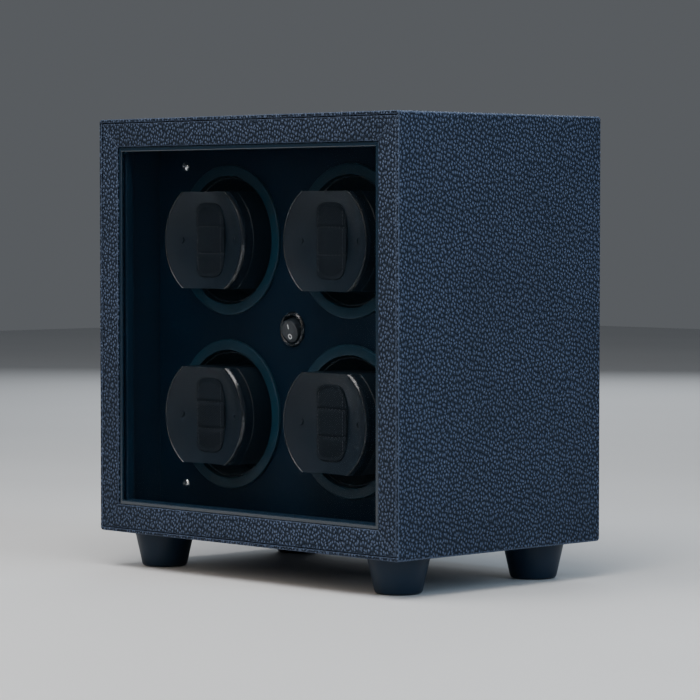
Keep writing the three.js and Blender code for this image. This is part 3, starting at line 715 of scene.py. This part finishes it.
def dish_y(r):
    """Depth of the dish behind the rim at a radius."""
    return math.sqrt(DISH_R ** 2 - r ** 2) - math.sqrt(DISH_R ** 2 - DISH_RIM ** 2)


def wide_block(half_h):
    """A block as high as the two flats that it cuts, and wider than the holder."""
    outline = [(x * BLOCK_HALF_W, z * half_h) for x, z in QUARTERS]
    return slab("block", outline, -BLOCK_PAST, holder_len + BLOCK_PAST, edge=0.001, steps=1)


def with_flats(mesh):
    """The turned mesh cut to the holder's flats above and below."""
    return carved(mesh, wide_block(HOLDER_FLAT), "INTERSECT")


def cheek_mesh():
    """The holder's dished face, out to its rim."""
    dish = [(DISH_EDGE * k / DISH_STEPS, dish_y(DISH_EDGE * k / DISH_STEPS))
            for k in range(DISH_STEPS + 1)]
    return with_flats(lathe("cheek", dish + [(DISH_EDGE, FACE_BACK), (0, FACE_BACK)], 128))


def rim_mesh():
    """Bead round the dish, sloping back to the edge of the drum."""
    profile = rounded([
        (DISH_EDGE + SEAM_GAP, 0.5, 0.1), (DISH_EDGE + 0.3, 0.0, 0.3), (HOLDER_R - 1.1, 0.1, 0.3),
        (HOLDER_R - 0.35, RIM_DROP - 0.5, 0.3), (HOLDER_R, RIM_DROP + 0.3, 0.5),
        (HOLDER_R, FACE_BACK - 0.35, 0.1), (HOLDER_R - 0.5, FACE_BACK, 0.1),
        (DISH_EDGE + SEAM_GAP, FACE_BACK, 0.1)], steps=4)
    return with_flats(lathe("rim", profile, 128))


def mark_mesh():
    """Small raised ring in each side of the dish."""
    front = dish_y(MARK_AT) - MARK_PROUD
    back = dish_y(MARK_AT) + 1.2
    ring = lathe("mark", rounded([
        (MARK_R, front, 0.12), (MARK_R + MARK_W, front, 0.12),
        (MARK_R + MARK_W, back, 0.02), (MARK_R, back, 0.02)]), 32)
    return merged("marks", [moved(ring, (x, 0, 0)) for x in (-MARK_AT, MARK_AT)])


def drum_mesh():
    """The holder's round body behind its face, hollow for the watch's clasp."""
    body = with_flats(lathe("drum", rounded([
        (0, FACE_BACK + SEAM_GAP, 0), (HOLDER_R - 0.5, FACE_BACK + SEAM_GAP, 0.1),
        (HOLDER_R, FACE_BACK + 0.4, 0.1), (HOLDER_R, holder_len, 1.0), (0, holder_len, 0)],
        closed=False, steps=3), 128))
    inside = lathe("hollow", [(0, HOLLOW_Y), (HOLLOW_R, HOLLOW_Y),
                              (HOLLOW_R, holder_len + 2), (0, holder_len + 2)], 64)
    return carved(body, carved(inside, wide_block(HOLLOW_HALF), "INTERSECT"))


PAD_HALF_W = 12.5
PAD_HALF_H = 23
PAD_FRONT = 3.2                # behind the holder's rim
PAD_FALL = 2.6                 # from the crown to the pad's edge
PAD_GAP = 0.4
PAD_CORNER = 0.36              # how far the corners are pulled in
PAD_THINNEST = 0.3
PAD_COLUMNS = 24
PAD_ROWS = 56
SEAMS = (-0.36, 0.36)          # heights of the sewn channels, as shares of half the pad
SEAM_DEPTH = 0.75
SEAM_HALF_W = 0.9
EDGE_SEAMS = (-0.84, 0.84)     # the stitched lines down the pad, as shares of half its width
STITCH_HALF = 0.75
STITCHES_ACROSS = 4.7          # to each side of the pad's middle
STITCHES_DOWN = 10.2
STITCH_PROUD = 0.1
EDGE_STITCH_PROUD = 0.12


def pad_surface(u, v):
    """A point on the pad's front: u and v run from -1 to 1."""
    x = PAD_HALF_W * u * math.sqrt(1 - PAD_CORNER * v ** 6)
    z = PAD_HALF_H * v * math.sqrt(1 - PAD_CORNER * 0.5 * u ** 4)
    crown = (1 - abs(u) ** 2.2) * (1 - abs(v) ** 3)
    y = PAD_FRONT + PAD_FALL * (1 - crown)
    for seam in SEAMS:
        y += SEAM_DEPTH * math.exp(-(((v - seam) * PAD_HALF_H) / SEAM_HALF_W) ** 2)
    return x, y, z


def pad_back(x, z):
    """How far back the pad may reach at a point of the dish."""
    return dish_y(math.hypot(x, z)) - PAD_GAP


def pad_mesh():
    """Crowned pad with two sewn channels, lying in the dish."""
    steps_u = [math.sin(math.pi / 2 * (2 * i / PAD_COLUMNS - 1))
               for i in range(PAD_COLUMNS + 1)]
    steps_v = [2 * j / PAD_ROWS - 1 for j in range(PAD_ROWS + 1)]
    front, back, faces = [], [], []
    for v in steps_v:
        for u in steps_u:
            x, y, z = pad_surface(u, v)
            edge = u in (steps_u[0], steps_u[-1]) or v in (steps_v[0], steps_v[-1])
            rear = pad_back(x, z)
            middle = (y + rear) / 2
            front.append((x, middle if edge else min(y, rear - PAD_THINNEST), z))
            back.append((x, middle if edge else rear, z))
    wide = PAD_COLUMNS + 1
    for j in range(PAD_ROWS):
        for i in range(PAD_COLUMNS):
            a = j * wide + i
            faces.append((a, a + 1, a + wide + 1, a + wide))
            b = a + len(front)
            faces.append((b, b + wide, b + wide + 1, b + 1))
    return mesh_of("holder_pad", front + back, faces)


def stitch(size):
    """One thread stitch, lying along x."""
    profile = [(0, -size), (0.19, -size * 0.7), (0.24, 0), (0.19, size * 0.7), (0, size)]
    return lathe("stitch", profile, 8)


def pad_stitching():
    """Stitches along the two channels and down both sides of the pad."""
    thread = stitch(STITCH_HALF)
    lay = Matrix.Rotation(math.pi / 2, 4, "Z")
    stand = Matrix.Rotation(math.pi / 2, 4, "X")
    parts = []
    for v in SEAMS:
        for k in range(-4, 5):
            x, y, z = pad_surface(k / STITCHES_ACROSS, v)
            parts.append(moved(thread, (x, y - STITCH_PROUD, z), lay))
    for u in EDGE_SEAMS:
        for k in range(-9, 10):
            if abs(abs(k / STITCHES_DOWN) - SEAMS[1]) < 0.05:
                continue           # a channel crosses here
            x, y, z = pad_surface(u, k / STITCHES_DOWN)
            parts.append(moved(thread, (x, y - EDGE_STITCH_PROUD, z), stand))
    return merged("pad_stitching", parts)


cheeks = cheek_mesh()
rim = rim_mesh()
dish_marks = mark_mesh()
drum = drum_mesh()
pad = pad_mesh()
threads = pad_stitching()
for place in PLACES:
    ring_at = centre_of(f"well_ring_{place}")
    ring_at.y = corners_of(f"well_ring_{place}")[0].y
    piece(f"ring_{place}", ring_mesh, "case", RING, ring_at,
          stands_for=(f"well_ring_{place}",))
    cup_at = Vector((ring_at.x, corners_of(f"rotor_cup_{place}")[0].y, ring_at.z))
    piece(f"cup_{place}", cup_mesh, f"rotor_{place}", CUP, cup_at,
          stands_for=(f"rotor_cup_{place}",))
    held = f"watch_holder_{place}"
    holder_at = Vector((ring_at.x, corners_of(f"holder_{place}")[0].y, ring_at.z))
    piece(f"cheeks_{place}", cheeks, held, CHEEK, holder_at,
          stands_for=(f"holder_{place}",))
    piece(f"rim_{place}", rim, held, RIM, holder_at)
    piece(f"dish_marks_{place}", dish_marks, held, CHEEK, holder_at)
    piece(f"drum_{place}", drum, held, DRUM, holder_at)
    cushion = piece(f"cushion_{place}", pad, held, FABRIC, holder_at,
                    stands_for=(f"holder_pad_{place}",), crease=60)
    piece(f"stitching_{place}", threads, held, THREAD, holder_at)

# ---------------------------------------------------------------- switch

bezel_low, bezel_high = corners_of("switch_bezel")
BEZEL_R = (bezel_high.x - bezel_low.x) / 2 - 0.2
BEZEL_BORE = 8.6
BEZEL_SEAT = 1.7               # behind the bezel's front, where it meets the panel
BEZEL_SLEEVE_R = 9.4
bezel_len = bezel_high.y - bezel_low.y
bezel = lathe("bezel", smooth_profile([
    (0, bezel_len - 3, 0), (BEZEL_BORE, bezel_len - 3, 0.5), (BEZEL_BORE, 0.5, 0.4),
    (BEZEL_BORE + 0.5, 0, 0.5), (BEZEL_R - 0.8, 0, 0.6), (BEZEL_R, 0.9, 0.7),
    (BEZEL_R + 0.2, BEZEL_SEAT, 0.1), (BEZEL_SLEEVE_R, BEZEL_SEAT, 0.1),
    (BEZEL_SLEEVE_R, bezel_len, 0.4), (0, bezel_len, 0)]), 96)
bezel_mid = centre_of("switch_bezel")
piece("bezel", bezel, "case", PLASTIC,
      (bezel_mid.x, bezel_low.y, bezel_mid.z), stands_for=("switch_bezel",))

rocker_joint = next(j for j in frame["joints"] if j["name"] == "rocker_tilt")
PIVOT = Vector(rocker_joint["pos_m"]) / MM
ROCKER_R = 7.1
ROCKER_FACE = -4.9
ROCKER_BACK = 2.8
ROCKER_TURN = (math.radians(15.5), 0, 0)       # off, at rest
TRUNNION_R = 0.9
TRUNNION_HALF = 9.2
rocker_body = lathe("rocker", smooth_profile([
    (0, ROCKER_FACE, 0), (ROCKER_R * 0.5, ROCKER_FACE + 0.03, 0.5),
    (ROCKER_R, ROCKER_FACE + 0.15, 0.7), (ROCKER_R, ROCKER_BACK, 0.5),
    (0, ROCKER_BACK, 0)]), 96)
trunnion = lathe("trunnion", smooth_profile([
    (0, -TRUNNION_HALF, 0), (TRUNNION_R, -TRUNNION_HALF, 0.2),
    (TRUNNION_R, TRUNNION_HALF, 0.2), (0, TRUNNION_HALF, 0)]), 24)
rocker_mesh = merged("rocker", [rocker_body, moved(trunnion, (0, 0, 0),
                                                   Matrix.Rotation(math.pi / 2, 4, "Z"))])
piece("rocker_button", rocker_mesh, "rocker", BUTTON, PIVOT,
      ROCKER_TURN, stands_for=("switch_rocker",))

MARK_TOP = ROCKER_FACE - 0.12
MARK_BACK = ROCKER_FACE + 0.4
mark_on = slab("mark_on", round_rectangle(0.38, 1.45, 0.2), MARK_TOP, MARK_BACK, edge=0.08)
mark_off = lathe("mark_off", rounded([
    (1.0, MARK_TOP, 0.08), (1.6, MARK_TOP, 0.08), (1.6, MARK_BACK, 0.02),
    (1.0, MARK_BACK, 0.02)]), 48)
marks = merged("switch_marks", [moved(mark_on, (0, 0, 3.0)), moved(mark_off, (0, 0, -3.1))])
piece("switch_marks", marks, "rocker", MARK, PIVOT, ROCKER_TURN)

# ---------------------------------------------------------------- feet

foot_low, foot_high = corners_of("foot_front_left")
FOOT_H = foot_high.z - foot_low.z
FOOT_TOP_R = 18.5
FOOT_BOTTOM_R = 13.75
FOOT_WELL_R = 4.5
FOOT_WELL = 6                  # depth of the hole that its screw sits in
foot = lathe("foot", smooth_profile([
    (0, FOOT_WELL, 0), (FOOT_WELL_R, FOOT_WELL, 0.6), (FOOT_WELL_R, 0, 0.6),
    (FOOT_BOTTOM_R, 0, 2.5),
    (FOOT_TOP_R, FOOT_H - 0.6, 0.4), (FOOT_TOP_R - 0.25, FOOT_H, 0.3), (0, FOOT_H, 0)]), 96)
foot.transform(Matrix.Rotation(math.pi / 2, 4, "X"))
foot_screw = moved(chrome_head, (0, 0, 0), Matrix.Rotation(math.pi / 2, 4, "X"))
foot_screw.materials.clear()
for name in FEET:
    mid = centre_of(f"foot_{name}")
    piece(f"pad_{name}", foot, "case", RUBBER, (mid.x, mid.y, foot_low.z),
          stands_for=(f"foot_{name}",))
    piece(f"foot_screw_{name}", foot_screw, "case", STEEL,
          (mid.x, mid.y, foot_low.z + FOOT_WELL - 0.1))

# ---------------------------------------------------------------- inlet, latch, pivots

inlet_low, inlet_high = corners_of("power_inlet")
jack_len = inlet_high.y - inlet_low.y
JACK_R = 5.0
JACK_BORE = 3.2
JACK_BORE_DEPTH = 10
FLANGE_R = 7.0
FLANGE_T = 1.2
JACK_PIN_R = 0.8
jack = lathe("jack", smooth_profile([
    (0, jack_len - JACK_BORE_DEPTH, 0), (JACK_BORE, jack_len - JACK_BORE_DEPTH, 0.3),
    (JACK_BORE, jack_len, 0.5), (FLANGE_R, jack_len, 0.6),
    (FLANGE_R, jack_len - FLANGE_T, 0.1), (JACK_R, jack_len - FLANGE_T, 0.1),
    (JACK_R, 0, 0.4), (0, 0, 0)]), 64)
piece("jack", jack, "case", PLASTIC, (inlet.x, inlet_low.y, inlet.z),
      stands_for=("power_inlet",))
jack_pin = lathe("jack_pin", smooth_profile([
    (0, jack_len - JACK_BORE_DEPTH - 0.5, 0),
    (JACK_PIN_R, jack_len - JACK_BORE_DEPTH - 0.5, 0.1),
    (JACK_PIN_R, jack_len - 2, 0.5), (0, jack_len - 1.8, 0)]), 32)
piece("jack_pin", jack_pin, "case", STEEL, (inlet.x, inlet_low.y, inlet.z))


def turned_on(node, name, body, look, profile, sides=48, upright=False):
    """A turned piece on the axis of its CAD node, starting at the node's low end."""
    low, high = corners_of(node)
    at = (low + high) / 2
    mesh = lathe(name, smooth_profile(profile), sides)
    if upright:
        at.z = low.z
        mesh.transform(Matrix.Rotation(math.pi / 2, 4, "X"))
    else:
        at.y = low.y
    piece(name, mesh, body, look, at, stands_for=(node,))


PLUNGER_R = 2.4
TUBE_R = 3.8
TUBE_BORE = 2.8
PIVOT_R = 1.3
plunger_low, plunger_high = corners_of("latch_plunger")
plunger_len = plunger_high.y - plunger_low.y
turned_on("latch_plunger", "plunger_rod", "plunger", PLASTIC, [
    (0, 0, 0), (PLUNGER_R, 0, 0.9), (PLUNGER_R, plunger_len, 0.3), (0, plunger_len, 0)])
housing_len = housing_high.y - housing_low.y
tube = lathe("latch_tube", rounded([
    (TUBE_BORE, 0, 0.3), (TUBE_R, 0, 0.4), (TUBE_R, housing_len, 0.3),
    (TUBE_BORE, housing_len, 0.2)]), 48)
housing_at = centre_of("latch_housing")
housing_at.y = housing_low.y
piece("latch_tube", tube, "case", PLASTIC, housing_at,
      stands_for=("latch_housing",))
for end in ("top", "bottom"):
    low, high = corners_of(f"door_pivot_{end}")
    length = high.z - low.z
    turned_on(f"door_pivot_{end}", f"pivot_pin_{end}", "door", DARK_STEEL, [
        (0, 0, 0), (PIVOT_R, 0, 0.25), (PIVOT_R, length, 0.25), (0, length, 0)], 32,
              upright=True)
strike_low, strike_high = corners_of("latch_strike")
strike_mid = (strike_low + strike_high) / 2
strike = slab("strike", round_rectangle((strike_high.x - strike_low.x) / 2,
                                        (strike_high.z - strike_low.z) / 2, 1.2),
              0, strike_high.y - strike_low.y, edge=0.25)
piece("strike_plate", strike, "door", STEEL,
      (strike_mid.x, strike_low.y, strike_mid.z), stands_for=("latch_strike",))

# ---------------------------------------------------------------- CAD nodes that stay

kept = {"front_panel": SATIN, "door_pane": PANE, "drive_plate": PLASTIC,
        "control_board": BOARD}
for place in PLACES:
    kept[f"rotor_gear_{place}"] = NYLON
    kept[f"motor_pinion_{place}"] = NYLON
    kept[f"gearmotor_{place}"] = STEEL
for name, look in kept.items():
    mesh = nodes[name].data
    mesh.materials.clear()
    mesh.materials.append(look)

# ---------------------------------------------------------------- stage, light, camera

FLOOR_HALF = 3400
FLOOR_T = 10
FLOOR_TOP = 0.2                # below the feet
floor = bpy.data.objects.new("floor", slab(
    "floor", [(x * FLOOR_HALF, z * FLOOR_HALF) for x, z in QUARTERS], 0, FLOOR_T, edge=0.1,
    steps=1))
floor.data.transform(Matrix.Rotation(-math.pi / 2, 4, "X"))
floor.data.transform(Matrix.Translation((0, 0, -FLOOR_TOP * MM)))
scene.collection.objects.link(floor)
floor.data.materials.append(moulded("floor_paper", (0.56, 0.57, 0.58), (0.60, 0.61, 0.62),
                                    0.85, grain=300.0, patch=2.0))

world = bpy.data.worlds.new("studio")
scene.world = world
world.use_nodes = True
background = world.node_tree.nodes["Background"].inputs
background["Color"].default_value = (0.86, 0.92, 1.0, 1)
background["Strength"].default_value = 0.12

AIM = (0, 0, 0.15)             # the box's middle, in metres
SOFTBOXES = (                  # name, place, size, watts, colour
    ("key", (0.6, -1.45, 1.0), (0.6, 1.2), 11, (1.0, 0.87, 0.74)),
    ("side", (1.5, 0.1, 0.9), (0.6, 1.3), 13, (0.62, 0.81, 1.0)),
    ("top", (0.1, -0.45, 1.35), (1.2, 0.9), 25, (1.0, 0.98, 0.96)),
    ("rear", (-1.3, 1.6, 1.1), (1.4, 1.4), 16, (0.9, 0.95, 1.0)),
)
for name, at, size, power, color in SOFTBOXES:
    light = bpy.data.lights.new(name, "AREA")
    light.shape = "RECTANGLE"
    light.size, light.size_y = size
    light.energy = power
    light.color = color
    lamp = bpy.data.objects.new(name, light)
    lamp.location = at
    lamp.rotation_euler = (Vector(AIM) - Vector(at)).to_track_quat("-Z", "Y").to_euler()
    scene.collection.objects.link(lamp)

CAMERA_AT = Vector((1.40223, -1.35572, 0.21845))      # metres
AZIMUTH = math.radians(45.89)
ELEVATION = math.radians(2.418)
camera = bpy.data.objects.new("camera", bpy.data.cameras.new("camera"))
camera.data.lens = 163.62
camera.data.sensor_width = 36
camera.data.clip_end = 50
back_vector = Vector((math.sin(AZIMUTH) * math.cos(ELEVATION),
                      -math.cos(AZIMUTH) * math.cos(ELEVATION), math.sin(ELEVATION)))
camera.location = CAMERA_AT
camera.rotation_euler = (-back_vector).to_track_quat("-Z", "Y").to_euler()
scene.collection.objects.link(camera)
scene.camera = camera
